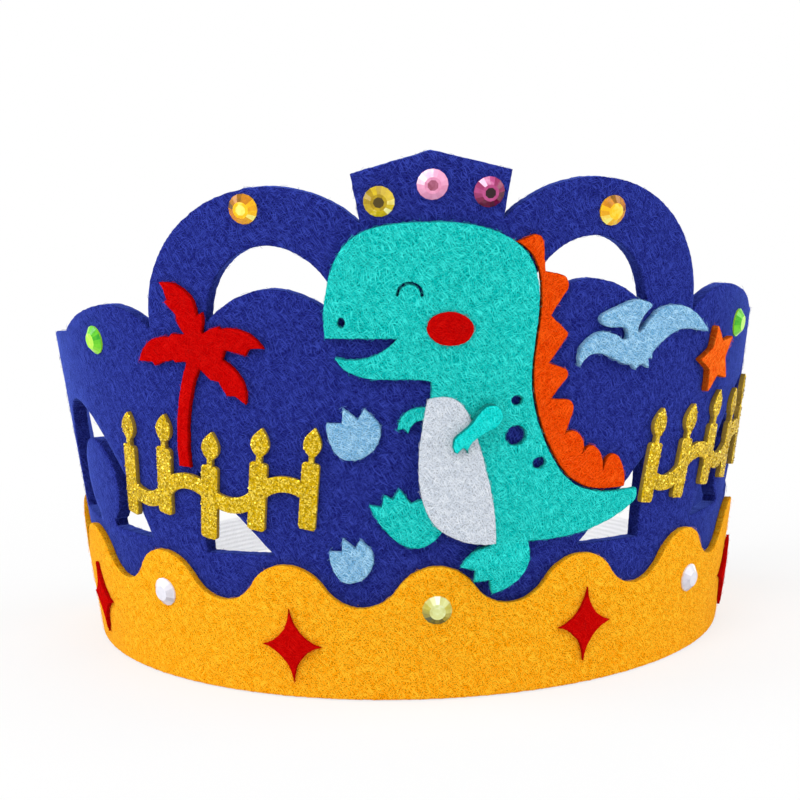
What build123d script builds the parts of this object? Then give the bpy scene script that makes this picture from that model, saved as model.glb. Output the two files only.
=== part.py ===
"""Child's felt party crown: a flared felt band with cut-outs, a scalloped trim and appliqued felt figures."""
import math
import os

from build123d import *

# The band: inner radius on the table, outward lean per mm of height, and half its sweep in degrees.
BASE_R = 84.0
FLARE = 0.1335
BAND_T = 4.0
BAND_END = 104.0
PEAK_Z = 143.6

# The scalloped trim on the lower edge.
TRIM_T = 2.0
TRIM_PITCH = 24.0
TRIM_PEAK = 36.5
TRIM_TROUGH = 25.4
TRIM_WAVES = 9

# The other layers, by thickness.
PATCH_T = 2.0
SPIKE_T = 1.6
BELLY_T = 1.4
ARM_T = 3.4
CHEEK_T = 0.9
STAR_T = 3.0
RED_STAR_T = 1.2
GOLD_T = 2.5
STRAP_T = 1.2

# The elastic strap that closes the back.
STRAP_LOW = 2.0
STRAP_W = 12.0
STRAP_LAP = 7.0

# Places of the paired features, in degrees from the front.
ARCH_AT = 24.0
SIDE_AT = 60.0
REAR_AT = 84.0
WEDGE_LEFT = -36.3
WEDGE_RIGHT = 34.0

# Crystals: width, height of the girdle and height of the cut crown.
GEM_D = 7.8
GEM_GIRDLE = 0.8
GEM_CROWN = 1.7
GEM_FACETS = 14

# Candles: stem and ribbon widths, and lean in degrees.
CANDLE_W = 5.2
RIBBON_W = 4.2
LEAN = 9.0

# Outlines are drawn on a flat chart, by its distance from the axis and its height to the peak. They are
# stretched to the crown's own height and spread outwards between two reaches.
CHART = (100.0, 143.6)
RISE = PEAK_Z / CHART[1]
SKY = CHART[1] + 20.0
NEAR = 0.48 * BASE_R
FAR = 1.48 * BASE_R
BELOW = -8.0
ABOVE = PEAK_Z + 6.0
BAND_OUT = BASE_R + BAND_T
TRIM_OUT = BAND_OUT + TRIM_T

os.makedirs("parts", exist_ok=True)


def outward(angle):
    """Level direction away from the axis, at an angle from the front."""
    turn = math.radians(angle)
    return Vector(math.sin(turn), -math.cos(turn), 0)


def along(angle):
    """Level direction along the band, at an angle from the front."""
    return outward(angle + 90)


def radial(flat, angle):
    """Solid that spreads a flat outline outwards, so that its cut edges stay square to the felt."""
    edge = flat.face()
    cuts = [(edge.outer_wire(), Mode.ADD)]
    cuts.extend((hole, Mode.SUBTRACT) for hole in edge.inner_wires())
    with BuildPart() as spread:
        for wire, mode in cuts:
            for reach in (NEAR, FAR):
                with BuildSketch(Plane(outward(angle) * reach, along(angle), outward(angle))):
                    face = make_face(wire.edges(), mode=Mode.PRIVATE)
                    add(scale(face, by=(reach / CHART[0], RISE, 1), mode=Mode.PRIVATE))
            loft(ruled=True, mode=mode)
    return spread.part


def layer(inner, thick, low=BELOW, high=ABOVE, start=-180.0, sweep=360.0):
    """Flared sheet of even thickness round the axis."""
    lean_low = FLARE * low
    lean_high = FLARE * high
    with BuildPart() as sheet:
        with BuildSketch(Plane((0, 0, 0), outward(start), -along(start))):
            with BuildLine():
                Polyline(
                    (inner + lean_low, low),
                    (inner + thick + lean_low, low),
                    (inner + thick + lean_high, high),
                    (inner + lean_high, high),
                    close=True,
                )
            make_face()
        revolve(axis=Axis.Z, revolution_arc=sweep)
    return sheet.part


def crystal(angle, height, under):
    """Flat-backed crystal, cut to a polygon and seated on the felt at a radius measured on the table."""
    lean = math.atan(FLARE)
    normal = outward(angle) * math.cos(lean) - Vector(0, 0, math.sin(lean))
    seat = outward(angle) * (under + FLARE * height) + Vector(0, 0, height)
    with BuildPart() as gem:
        with BuildSketch(Plane(seat - normal * GEM_GIRDLE, along(angle), normal)):
            RegularPolygon(GEM_D / 2, GEM_FACETS)
        extrude(amount=2 * GEM_GIRDLE)
        extrude(gem.faces().sort_by(Axis(seat, normal))[-1], amount=GEM_CROWN, taper=45)
        add(layer(under - 2 * GEM_GIRDLE, 2 * GEM_GIRDLE), mode=Mode.SUBTRACT)
    return gem.part


def save(part, name):
    part.label = name
    export_step(part, f"parts/{name}.step")


# Crown band: what is cut away above a tab, and above an arch, a side lobe and a low rear lobe on each side.
with BuildSketch() as tab_flat:
    with BuildLine():
        Polyline((-24, SKY), (-24, 150), (-19.2, 138.2), (0, CHART[1]))
        Polyline((0, CHART[1]), (19.2, 138.2), (24, 150), (24, SKY), (-24, SKY))
    make_face()

with BuildSketch() as arch_flat:
    with BuildLine():
        Spline(
            (-38, 97), (-35, 110), (-26.5, 121.7), (-12, 131.8), (3, 135.2), (16, 132.4), (25.3, 126.2),
        )
        Polyline((25.3, 126.2), (23.33, 138.2), (23.33, SKY), (-38, SKY), (-38, 97))
    make_face()

with BuildSketch() as side_flat:
    with BuildLine():
        Spline((27.2, 97.2), (20.5, 100.6), (12, 102.2), (2, 100.8), (-9, 97.3), (-21, 91.4))
        Polyline((-21, 91.4), (-26, SKY), (33, SKY), (27.2, 97.2))
    make_face()

with BuildSketch() as rear_flat:
    with BuildLine():
        Spline((22.2, 91.6), (10, 89.8), (-2, 87.5), (-13, 80), (-19, 64), (-21, 46))
        RadiusArc((-21, 46), (-26, 41), -5)
        Polyline((-26, 41), (-60, 41), (-60, SKY), (30, SKY), (22.2, 91.6))
    make_face()

with BuildSketch() as crescent_flat:
    with BuildLine():
        Spline(
            (-17.3, 100.2), (-14, 110.4), (-6.5, 118), (2, 120.4), (10.5, 117.5), (17.5, 109.5), (21, 100.2),
        )
        Spline(
            (21, 100.2), (15, 104.8), (8, 108.2), (1.8, 109.3), (-5, 108), (-11.5, 104.8), (-17.3, 100.2),
        )
    make_face()

with BuildSketch() as wedge_flat:
    with BuildLine():
        Polyline((-4.4, 37.6), (17.8, 38.6), (-4.4, 60), close=True)
    make_face()

with BuildSketch() as side_hole_flat:
    with BuildLine():
        Spline((15, 38.6), (9.5, 49), (3, 57.6), (-4, 64.6), (-12, 70), (-21, 72.2))
        Spline((-21, 72.2), (-31, 68.5), (-38, 57), (-39.5, 38.6))
        Line((-39.5, 38.6), (15, 38.6))
    make_face()
    with Locations((-12, 50.5)):
        Circle(12, mode=Mode.SUBTRACT)
    with Locations((-12, 41)):
        Rectangle(12, 10, mode=Mode.SUBTRACT)


def both_sides(cutter):
    """A cutter and its mirror image on the other side of the front."""
    return cutter, mirror(cutter, about=Plane.YZ, mode=Mode.PRIVATE)


with BuildPart() as crown_band:
    add(layer(BASE_R, BAND_T, 0, ABOVE, -BAND_END, 2 * BAND_END))
    add(radial(tab_flat.sketch, 0), mode=Mode.SUBTRACT)
    for flat, angle in ((arch_flat, ARCH_AT), (side_flat, SIDE_AT), (rear_flat, REAR_AT)):
        for cutter in both_sides(radial(flat.sketch, -angle)):
            add(cutter, mode=Mode.SUBTRACT)
    for flat, angle in ((crescent_flat, ARCH_AT), (side_hole_flat, SIDE_AT)):
        for cutter in both_sides(radial(flat.sketch, -angle)):
            add(cutter, mode=Mode.SUBTRACT)
    add(radial(wedge_flat.sketch, WEDGE_LEFT), mode=Mode.SUBTRACT)
    add(both_sides(radial(wedge_flat.sketch, -WEDGE_RIGHT))[1], mode=Mode.SUBTRACT)
save(crown_band.part, "crown_band")

# Scalloped trim: one wave of tangent arcs, repeated along the band.
wave_half = CHART[0] * math.tan(math.radians(TRIM_PITCH / 2))
wave_low = TRIM_TROUGH / RISE
wave_high = TRIM_PEAK / RISE
with BuildSketch() as wave_flat:
    with BuildLine():
        rise = JernArc((-wave_half, wave_low), (1, 0), 12.9, 57)
        crest = ThreePointArc(rise @ 1, (0, wave_high), (-(rise @ 1).X, (rise @ 1).Y))
        fall = mirror(rise, about=Plane.YZ)
        Polyline((wave_half, wave_low), (wave_half, BELOW), (-wave_half, BELOW), (-wave_half, wave_low))
    make_face()

with BuildPart() as scallop_band:
    wave = radial(wave_flat.sketch, 0)
    for index in range(TRIM_WAVES):
        add(wave.rotate(Axis.Z, (index - (TRIM_WAVES - 1) / 2) * TRIM_PITCH))
    add(layer(BAND_OUT, TRIM_T, 0, ABOVE, -BAND_END, 2 * BAND_END), mode=Mode.INTERSECT)
save(scallop_band.part, "scallop_band")

# Elastic strap: lapped on the inner face of both ends of the band.
with BuildPart() as elastic_strap:
    strap_sweep = 360 - 2 * BAND_END + 2 * STRAP_LAP
    strap_high = STRAP_LOW + STRAP_W
    add(layer(BASE_R - STRAP_T, STRAP_T, STRAP_LOW, strap_high, BAND_END - STRAP_LAP, strap_sweep))
save(elastic_strap.part, "elastic_strap")

# Dinosaur body: head with an open mouth, neck, back, tail and foot, with the far foot and far arm.
with BuildSketch() as dino_flat:
    with BuildLine():
        Spline(
            (-27.2, 97.2), (-25.6, 112), (-20, 121.8), (-2, 126.2), (13, 124), (23.5, 116.6),
            (26.7, 105), (25.2, 86), (30, 68), (40, 56), (53, 52.5), (67.5, 52),
        )
        RadiusArc((67.5, 52), (66.5, 48.2), 2.4)
        Spline((66.5, 48.2), (50, 43.4), (26, 41.8))
        Spline((26, 41.8), (25.2, 35.6), (15, 28.8))
        Polyline((15, 28.8), (14.2, 32.6), (10, 32.3), (10.3, 35.4), (6.3, 36.6))
        Spline((6.3, 36.6), (9.5, 39.6), (14.6, 41.4))
        Polyline((14.6, 41.4), (14.6, 43.6), (6, 45.6), (1.6, 45.8))
        Spline((1.6, 45.8), (-8, 42.2), (-13.4, 46.4), (-17.7, 53.4))
        Polyline(
            (-17.7, 53.4), (-14.4, 52.9), (-13.6, 56), (-11.3, 55), (-9.5, 57.6), (-6.6, 53.9), (-3, 54.8),
        )
        Spline((-3, 54.8), (-3.4, 64), (-2.8, 75.8))
        Spline((-2.8, 75.8), (-5.2, 75), (-6.8, 72.3))
        Polyline((-6.8, 72.3), (-7.9, 73.7), (-9.6, 73.3))
        Spline((-9.6, 73.3), (-8, 77.2), (-2.2, 79))
        Spline((-2.2, 79), (-1, 82), (-0.8, 85.6))
        Spline((-0.8, 85.6), (-16, 86.8), (-22, 88.8), (-25, 92.2))
        Spline((-25, 92.2), (-14, 93), (-9, 97))
        Line((-9, 97), (-27.2, 97.2))
    make_face()
    with Locations((21.3, 79.6)):
        Ellipse(1.6, 1.4, mode=Mode.SUBTRACT)
    with Locations((21.3, 70.4)):
        Ellipse(3, 2.7, mode=Mode.SUBTRACT)
    with Locations((28.4, 62.6)):
        Ellipse(2.1, 1.6, mode=Mode.SUBTRACT)
    with Locations((-22.8, 101.2)):
        Ellipse(1, 1.4, mode=Mode.SUBTRACT)
    with BuildLine(mode=Mode.PRIVATE):
        closed_lid = ThreePointArc((-8.7, 108.1), (-5.6, 111), (-2.8, 107.8))
    SlotArc(closed_lid, 0.7, mode=Mode.SUBTRACT)

with BuildSketch() as belly_flat:
    with BuildLine():
        Spline((-1.9, 81.2), (1, 81.8), (5.2, 80.9), (9, 75), (13, 62), (15.2, 52), (16, 42.2))
        Spline((16, 42.2), (8, 43), (-0.6, 48.2), (-4, 57), (-4.2, 68), (-1.9, 81.2))
    make_face()

with BuildSketch() as arm_flat:
    with BuildLine():
        Spline(
            (4.2, 67.4), (4.2, 71), (8.6, 75.3), (11.6, 79),
            (15.6, 79.3), (16.8, 75.6), (11.6, 71.6), (8, 66.9),
        )
        Polyline((8, 66.9), (6.6, 68.3), (5.3, 67), (4.2, 67.4))
    make_face()

with BuildSketch() as spikes_flat:
    with BuildLine():
        Spline(
            (19.9, 120.3), (24.2, 117), (27.4, 105), (25.9, 86),
            (30.7, 68.4), (40.4, 56.7), (53, 53.2), (61.6, 53),
        )
        Spline((61.6, 53), (60, 59), (56, 62.3), (51.3, 58.4))
        Spline((51.3, 58.4), (50.6, 62), (47.5, 65.2), (42.8, 63.6))
        Spline((42.8, 63.6), (43, 67), (40.4, 69.7), (36.4, 69.6))
        Line((36.4, 69.6), (38.7, 75))
        ThreePointArc((38.7, 75), (38.4, 77.5), (36.4, 78.7))
        Polyline((36.4, 78.7), (31.2, 79.2), (36, 84.2))
        ThreePointArc((36, 84.2), (36.4, 85.5), (35.6, 86.6))
        Polyline((35.6, 86.6), (30.3, 88.7), (35.4, 95))
        ThreePointArc((35.4, 95), (35.7, 95.7), (35.4, 96.4))
        Line((35.4, 96.4), (30.3, 100.9))
        Line((30.3, 100.9), (34.2, 106.4))
        ThreePointArc((34.2, 106.4), (35.1, 109.2), (33, 111.2))
        Polyline((33, 111.2), (28.2, 112.4), (27.4, 119.6))
        ThreePointArc((27.4, 119.6), (26.5, 121.4), (24.6, 121.8))
        Line((24.6, 121.8), (19.9, 120.3))
    make_face()

dino_ramp_low = TRIM_PEAK + 0.4
dino_ramp_high = TRIM_PEAK + 4.6

with BuildPart() as dino_sheet:
    with BuildSketch(Plane((0, 0, 0), outward(-180), -along(-180))):
        with BuildLine():
            Polyline(
                (TRIM_OUT, 0),
                (TRIM_OUT + FLARE * dino_ramp_low, dino_ramp_low),
                (BAND_OUT + FLARE * dino_ramp_high, dino_ramp_high),
                (BAND_OUT + FLARE * ABOVE, ABOVE),
            )
            Polyline(
                (TRIM_OUT, 0),
                (TRIM_OUT + PATCH_T, 0),
                (TRIM_OUT + PATCH_T + FLARE * dino_ramp_low, dino_ramp_low),
                (BAND_OUT + PATCH_T + FLARE * dino_ramp_high, dino_ramp_high),
                (BAND_OUT + PATCH_T + FLARE * ABOVE, ABOVE),
                (BAND_OUT + FLARE * ABOVE, ABOVE),
            )
        make_face()
    revolve(axis=Axis.Z)

# The foot climbs over the trim, so the body's sheet steps outwards below the knee.
with BuildPart() as dino_body:
    add(radial(dino_flat.sketch, 0))
    add(dino_sheet.part, mode=Mode.INTERSECT)
save(dino_body.part, "dino_body")

with BuildPart() as dino_spikes:
    add(radial(spikes_flat.sketch, 0))
    add(layer(BAND_OUT, SPIKE_T), mode=Mode.INTERSECT)
save(dino_spikes.part, "dino_spikes")

with BuildPart() as dino_belly:
    add(radial(belly_flat.sketch, 0))
    add(layer(BAND_OUT + PATCH_T, BELLY_T), mode=Mode.INTERSECT)
    add(dino_body.part, mode=Mode.SUBTRACT)
save(dino_belly.part, "dino_belly")

with BuildPart() as dino_arm:
    add(radial(arm_flat.sketch, 0))
    add(layer(BAND_OUT + PATCH_T, ARM_T), mode=Mode.INTERSECT)
    add(dino_belly.part, mode=Mode.SUBTRACT)
save(dino_arm.part, "dino_arm")

with BuildSketch() as cheek_flat:
    with Locations(Location((3.8, 99.2), -8)):
        Ellipse(5.7, 4.3)

with BuildPart() as dino_cheek:
    add(radial(cheek_flat.sketch, 0))
    add(layer(BAND_OUT + PATCH_T, CHEEK_T), mode=Mode.INTERSECT)
save(dino_cheek.part, "dino_cheek")

# Cracked egg shells.
with BuildSketch() as shell_flat:
    with BuildLine():
        Polyline((-6.9, 3), (-2.7, 2.9), (-2.3, 7), (1.6, 4), (3.4, 6.9), (6.9, 3.4))
        Spline((6.9, 3.4), (6.4, -2.6), (2.6, -6), (-3.2, -6.2), (-6.2, -2.4), (-6.9, 3))
    make_face()

with BuildPart() as egg_shell_upper:
    with BuildSketch(mode=Mode.PRIVATE) as upper_flat:
        with Locations((-21.3, 72.1)):
            add(shell_flat.sketch)
    add(radial(upper_flat.sketch, 0))
    add(layer(BAND_OUT, PATCH_T), mode=Mode.INTERSECT)
save(egg_shell_upper.part, "egg_shell_upper")

with BuildPart() as egg_shell_lower:
    with BuildSketch(mode=Mode.PRIVATE) as lower_flat:
        with Locations((-23.6, (TRIM_TROUGH + 12.8) / RISE)):
            add(scale(shell_flat.sketch, by=0.88, mode=Mode.PRIVATE))
    add(radial(lower_flat.sketch, 0))
    add(layer(BAND_OUT, PATCH_T), mode=Mode.INTERSECT)
save(egg_shell_lower.part, "egg_shell_lower")

# Palm tree: a bent trunk under five toothed fronds.
with BuildSketch() as palm_flat:
    with BuildLine():
        Spline((-10, 60.8), (-8, 76), (-3, 89.4))
        Polyline(
            (-3, 89.4), (-6.5, 88.8), (-7, 89.4), (-10.5, 88.7), (-13.9, 87.4), (-14.4, 88.4), (-20, 88.2),
        )
        Spline((-20, 88.2), (-15.4, 94), (-10, 96))
        Polyline((-10, 96), (-7.6, 96), (-6.6, 97), (-2.6, 97))
        Spline((-2.6, 97), (-4.3, 99.6), (-4.6, 101.8))
        Polyline((-4.6, 101.8), (-6.8, 103.9), (-8, 105), (-6.8, 105.8), (-7.4, 108), (-8.7, 110.2))
        Spline((-8.7, 110.2), (-3.6, 110.2), (1.4, 106.6))
        Polyline((1.4, 106.6), (2, 105.4), (2.4, 102.4), (4, 103.2))
        Spline((4, 103.2), (4.1, 100.4), (3.2, 97.6))
        Polyline((3.2, 97.6), (5.2, 98.8), (8.4, 99.9), (8.7, 99.2))
        Spline((8.7, 99.2), (14.5, 99), (18.6, 96.8), (20.8, 93.9))
        Polyline((20.8, 93.9), (16.6, 93.7), (15.2, 91.9), (9.6, 93), (8.6, 90.9))
        Spline((8.6, 90.9), (12.8, 87.4), (14.6, 83), (13.8, 78.9))
        Polyline((13.8, 78.9), (11, 81), (8.4, 81), (6.4, 84.6), (4.2, 84.9), (1.1, 87.7))
        Spline((1.1, 87.7), (-3, 78), (-5.7, 60.8))
        Line((-5.7, 60.8), (-10, 60.8))
    make_face()

with BuildPart() as palm_tree:
    add(radial(palm_flat.sketch, -36))
    add(layer(BAND_OUT, PATCH_T), mode=Mode.INTERSECT)
save(palm_tree.part, "palm_tree")

# Pterosaur in flight.
with BuildSketch() as pterosaur_flat:
    with BuildLine():
        Spline(
            (-25.4, 87), (-25.2, 91.6), (-20.6, 95.2), (-14, 93.8), (-11, 92.8), (-11.2, 95.2),
            (-16, 96.2), (-19.8, 98.6), (-14, 101.6), (-5.2, 101.9), (-3.6, 100.8), (-6, 98.4),
            (-7.4, 94), (-3, 97.6), (3, 99.9), (13, 97.4), (21.7, 90.7),
        )
        Spline((21.7, 90.7), (14, 92.4), (6, 92.7), (1, 90.4), (-2.1, 88))
        Polyline(
            (-2.1, 88), (-1.9, 86.5), (-3.2, 86.9), (-2.7, 84.1),
            (-5, 85.6), (-6.6, 85.2), (-7.3, 84.1), (-8.8, 85.8),
        )
        Spline((-8.8, 85.8), (-15, 88), (-20.4, 89.9), (-25.4, 87))
    make_face()

with BuildPart() as pterosaur:
    add(radial(pterosaur_flat.sketch, 36))
    add(layer(BAND_OUT, PATCH_T), mode=Mode.INTERSECT)
save(pterosaur.part, "pterosaur")

# Five-pointed star in thicker felt.
with BuildSketch() as star_flat:
    with BuildLine():
        rays = []
        for index in range(10):
            size = 10.6 if index % 2 == 0 else 5.3
            turn = math.radians(102 + 36 * index)
            rays.append((size * math.cos(turn), 82.4 + size * math.sin(turn)))
        Polyline(*rays, close=True)
    make_face()
    fillet(star_flat.vertices(), 0.7)

with BuildPart() as orange_star:
    add(radial(star_flat.sketch, 52.2))
    add(layer(BAND_OUT, STAR_T), mode=Mode.INTERSECT)
save(orange_star.part, "orange_star")

# Four-pointed stars on the trim.
with BuildSketch() as spark_flat:
    with BuildLine():
        arm_x = 8.8
        arm_y = 10.3
        waist_x = 2.65
        waist_y = 3.65
        ThreePointArc((0, arm_y), (waist_x, waist_y), (arm_x, 0))
        ThreePointArc((arm_x, 0), (waist_x, -waist_y), (0, -arm_y))
        ThreePointArc((0, -arm_y), (-waist_x, -waist_y), (-arm_x, 0))
        ThreePointArc((-arm_x, 0), (-waist_x, waist_y), (0, arm_y))
    make_face()

for name, angle, height in (
    ("red_star_1", -72.4, 15.2),
    ("red_star_2", -23.8, 14.6),
    ("red_star_3", 25.3, 16.8),
    ("red_star_4", 72.4, 15.2),
):
    with BuildPart() as red_star:
        with BuildSketch(mode=Mode.PRIVATE) as placed_flat:
            with Locations((0, height)):
                add(spark_flat.sketch)
        add(radial(placed_flat.sketch, angle))
        add(layer(TRIM_OUT, RED_STAR_T), mode=Mode.INTERSECT)
    save(red_star.part, name)

# Candles cut from glitter foam: leaning stems with flames, tied together by a wavy ribbon.
with BuildSketch() as flame_flat:
    with BuildLine():
        Spline((0, 1.2), (2.5, 4), (0.4, 9.4))
        Spline((0.4, 9.4), (-2.5, 4), (0, 1.2))
    make_face()
    with Locations((0, 0.8)):
        Rectangle(1.6, 2.8)


def candle_row(first, step, stems, ribbon_z, climb):
    """Flat outline of a row of candles: each stem is a pair of heights, its foot and its top."""
    sway = math.tan(math.radians(LEAN))
    with BuildSketch() as row:
        for index, (foot, top) in enumerate(stems):
            across = first + step * index
            middle = (foot + top) / 2
            with Locations(Location((across, middle), -LEAN)):
                RectangleRounded(CANDLE_W, (top - foot) / math.cos(math.radians(LEAN)), 1.0)
            with Locations(Location((across + sway * (top - middle), top), -LEAN)):
                add(flame_flat.sketch)
        for index in range(len(stems) - 1):
            start = (first + step * index, ribbon_z + climb * index)
            end = (first + step * (index + 1), ribbon_z + climb * (index + 1))
            sag = 3.0 if index % 2 == 0 else -3.0
            centre = ((start[0] + end[0]) / 2, (start[1] + end[1]) / 2 - sag)
            with BuildLine(mode=Mode.PRIVATE):
                swag = ThreePointArc(start, centre, end)
            SlotArc(swag, RIBBON_W)
    return row.sketch


left_stems = ((45, 64.5), (47, 65.5), (42, 62), (45.5, 64), (46.5, 64.5))
right_stems = ((47, 63), (46, 62), (47, 63.5), (46, 61.5), (47, 63))

with BuildPart() as gold_candles_left:
    add(radial(candle_row(-32, 15.5, left_stems, 53, 0.7), -36))
    add(layer(BAND_OUT, GOLD_T), mode=Mode.INTERSECT)
save(gold_candles_left.part, "gold_candles_left")

with BuildPart() as gold_candles_right:
    add(radial(candle_row(-33.5, 15, right_stems, 54, 0.5), 56))
    add(layer(BAND_OUT, GOLD_T), mode=Mode.INTERSECT)
save(gold_candles_right.part, "gold_candles_right")

# Crystals: on the trim, the tab, the arches and the side lobes.
for name, angle, height, under in (
    ("gem_trim_left", -48.5, 24.7, TRIM_OUT),
    ("gem_trim_middle", 0.0, 24.9, TRIM_OUT),
    ("gem_trim_right", 51.0, 21.4, TRIM_OUT),
    ("gem_tab_left", -7.1, 131.5, BAND_OUT),
    ("gem_tab_middle", 0.0, 135.4, BAND_OUT),
    ("gem_tab_right", 7.6, 133.0, BAND_OUT),
    ("gem_arch_left", -25.9, 129.7, BAND_OUT),
    ("gem_arch_right", 26.1, 126.4, BAND_OUT),
    ("gem_side_left", -59.1, 91.8, BAND_OUT),
    ("gem_side_right", 61.8, 89.7, BAND_OUT),
):
    with BuildPart() as gem:
        add(crystal(angle, height * RISE, under))
    save(gem.part, name)
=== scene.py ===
"""Looks of a child's felt party crown: felt, glitter foam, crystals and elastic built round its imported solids."""
import math
import random

import bmesh
import bpy
import numpy as np
from mathutils import Matrix, Vector, geometry, noise
from mathutils.kdtree import KDTree


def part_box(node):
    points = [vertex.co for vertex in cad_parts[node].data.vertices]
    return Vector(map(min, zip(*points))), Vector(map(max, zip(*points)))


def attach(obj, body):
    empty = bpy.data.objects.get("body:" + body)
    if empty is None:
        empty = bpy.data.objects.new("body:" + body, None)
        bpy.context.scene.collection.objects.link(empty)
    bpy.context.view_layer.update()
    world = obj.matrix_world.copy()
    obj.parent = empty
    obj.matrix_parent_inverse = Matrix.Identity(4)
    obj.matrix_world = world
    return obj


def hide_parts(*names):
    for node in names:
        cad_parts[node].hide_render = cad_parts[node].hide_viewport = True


bl_info = {
    "name": "Felt Party Crown",
    "version": (1, 0, 0),
    "blender": (4, 5, 0),
    "location": "View3D > Sidebar > Crown",
    "description": "Dresses the solids of a felt party crown in felt, glitter foam, crystals and elastic",
    "category": "Object",
}

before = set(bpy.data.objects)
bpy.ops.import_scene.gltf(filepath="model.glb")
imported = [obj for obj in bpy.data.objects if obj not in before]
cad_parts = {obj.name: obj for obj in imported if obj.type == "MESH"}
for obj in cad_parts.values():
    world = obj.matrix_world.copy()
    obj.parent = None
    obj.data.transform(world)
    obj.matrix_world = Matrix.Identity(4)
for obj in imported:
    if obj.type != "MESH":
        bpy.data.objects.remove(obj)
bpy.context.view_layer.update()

MM = 0.001
BODY = "root"
# The crown's outward lean per mm of height, and the radius in mm at which its sheets are laid flat.
FLARE = 0.1335
SPREAD_R = 95.0

# Packed vertices closer than this, in metres, are one.
WELD = 2e-6
# A face that looks outwards by more than this is a front one.
FACING = 0.5
# Outlines: the spacing of their points in mm, the share of it that is crowded, and the turn that makes a corner.
OUTLINE_STEP = 0.75
CROWDED = 0.45
CORNER = 0.5
# Rows of points along an edge, as shares of its rounding, and the height of an even triangle with sides of 1.
EDGE_ROWS = (0.3, 1.0)
EVEN_RISE = 0.866
# Room that points keep from the edge, as shares of a row's depth and of the grid's step.
ROW_ROOM, GRID_ROOM = 0.9, 0.45
# Unevenness, in layers of a size in mm, a share and a shift of the seed: strays along a cut edge, lumps on a face
# and roughness down a cut edge, where each row of points also takes its noise from further along.
STRAYS = ((0.9, 1.0, 0), (2.6, 1.0, 5))
LUMPS = ((7.0, 0.7, 11), (1.8, 0.3, 17))
ROUGHNESS = ((0.8, 1.0, 23),)
ROW_SHIFT = 3.1

# Felt patterns, in mm: the sizes of bends, pits and clouds of tone, how far a bend shifts a fibre, and the depths
# in from a cut edge at which the painted shade on it ends and is full.
CURL, PIT, CLOUD = 6.0, 0.36, 8.0
CURL_SHIFT = 2.5
EDGE_SHADE_ENDS, EDGE_SHADE_FULL = 0.2, 0.03
# Drawn fibres, in layers: turn from the felt's slope in degrees, length and width in mm, and the level of noise
# that they lie at.
FIBRE_LAYERS = ((-10, 3.4, 0.18, 0.61), (14, 2.8, 0.17, 0.625), (55, 2.6, 0.17, 0.65), (102, 2.6, 0.18, 0.63))
# A wave texture of scale 1 repeats at these lengths, along an axis and for its diagonal bands.
WAVE_TURN, DIAGONAL_TURN = math.tau / 20, math.tau / 10

# For each felt: its pale fibres, the shade of its pits, the painted shade on its cut edges, its sheen's weight and
# colour, and its fibres' slope in degrees.
FELT_LOOKS = {
    "blue": ("#3644A6", 0.28, 0.75, 1.0, "#6A86FF", -58),
    "yellow": ("#FFC632", 0.34, 0.75, 0.25, "#FFD080", -50),
    "teal": ("#3CE4DC", 0.26, 0.72, 0.1, "#A0FFF0", -60),
    "light_teal": ("#30EAE4", 0.5, 0.3, 0.1, "#A0FFF0", -60),
    "white": ("#E6EBF2", 0.46, 0.85, 0.06, "#FFFFFF", -52),
    "orange": ("#FF862E", 0.5, 0.5, 0.06, "#FF9A60", 40),
    "red_orange": ("#F45C14", 0.5, 0.5, 0.06, "#FF8A50", 40),
    "red": ("#CE100C", 0.66, 0.8, 0.03, "#FF6050", -30),
    "pale_blue": ("#B0DAF2", 0.34, 0.84, 0.1, "#D0ECFF", -35),
}

# The pieces made so far that later steps rest on or grow from.
crown = {}


def hex_rgb(code):
    """Linear red, green and blue of an sRGB hex colour."""
    parts = [int(code[i:i + 2], 16) / 255 for i in (1, 3, 5)]
    return tuple(c / 12.92 if c <= 0.04045 else ((c + 0.055) / 1.055) ** 2.4 for c in parts)


def colour(code, words):
    """A colour setting with its default given as hex."""
    return bpy.props.FloatVectorProperty(
        name=words, description=f"Colour of the {words.lower()}", subtype="COLOR", size=3, min=0, max=1,
        default=hex_rgb(code),
    )


def length(mm, words, note):
    """A size setting in metres with its default given in millimetres."""
    return bpy.props.FloatProperty(name=words, description=note, default=mm * MM, unit="LENGTH", precision=5)


def angle(degrees, words, note):
    """An angle setting with its default given in degrees."""
    return bpy.props.FloatProperty(name=words, description=note, default=math.radians(degrees), subtype="ANGLE")


class CrownFelt(bpy.types.PropertyGroup):
    """Sizes and colours of the felt."""

    edge: length(0.3, "Edge rounding", "Radius of the softened cut edges")
    ragged: length(0.13, "Ragged edge", "How far a cut edge strays from its line")
    lump: length(0.1, "Lumps", "Height of the felt's unevenness")
    fibre: length(1.7, "Loose fibre", "Length of a loose fibre")
    fibre_r: length(0.022, "Fibre radius", "Radius of a loose fibre")
    blue: colour("#1C2276", "Blue felt")
    yellow: colour("#FFA002", "Yellow felt")
    teal: colour("#02B9B3", "Teal felt")
    light_teal: colour("#02D3CD", "Light teal felt")
    white: colour("#C8D1DE", "White felt")
    orange: colour("#F25006", "Orange felt")
    red_orange: colour("#E43E02", "Red orange felt")
    red: colour("#BA0203", "Red felt")
    pale_blue: colour("#6AA9D8", "Pale blue felt")


class CrownTrim(bpy.types.PropertyGroup):
    """Sizes and colours of the glitter, crystals and elastic."""

    flake: length(0.3, "Glitter flake", "Radius of a glitter flake")
    flakes_mm2: bpy.props.FloatProperty(name="Flakes per mm2", description="Density of the glitter", default=2.6)
    glitter: colour("#DDB400", "Gold glitter")
    # The bright tone of the painted highlights on the glitter.
    painted_glitter_highlight: colour("#FFE45C", "Bright glitter")
    # The foam edge's own gold-brown, made darker as painted shade on the letters' sides.
    foam: colour("#A8861A", "Foam edge")
    elastic: colour("#FDFDFC", "Elastic")
    thread: colour("#F4F2EA", "Sewing thread")
    table_share: bpy.props.FloatProperty(
        name="Crystal table", description="Width of a crystal's flat top as a share of its width", default=0.54,
        subtype="FACTOR", min=0.2, max=0.9,
    )


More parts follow.
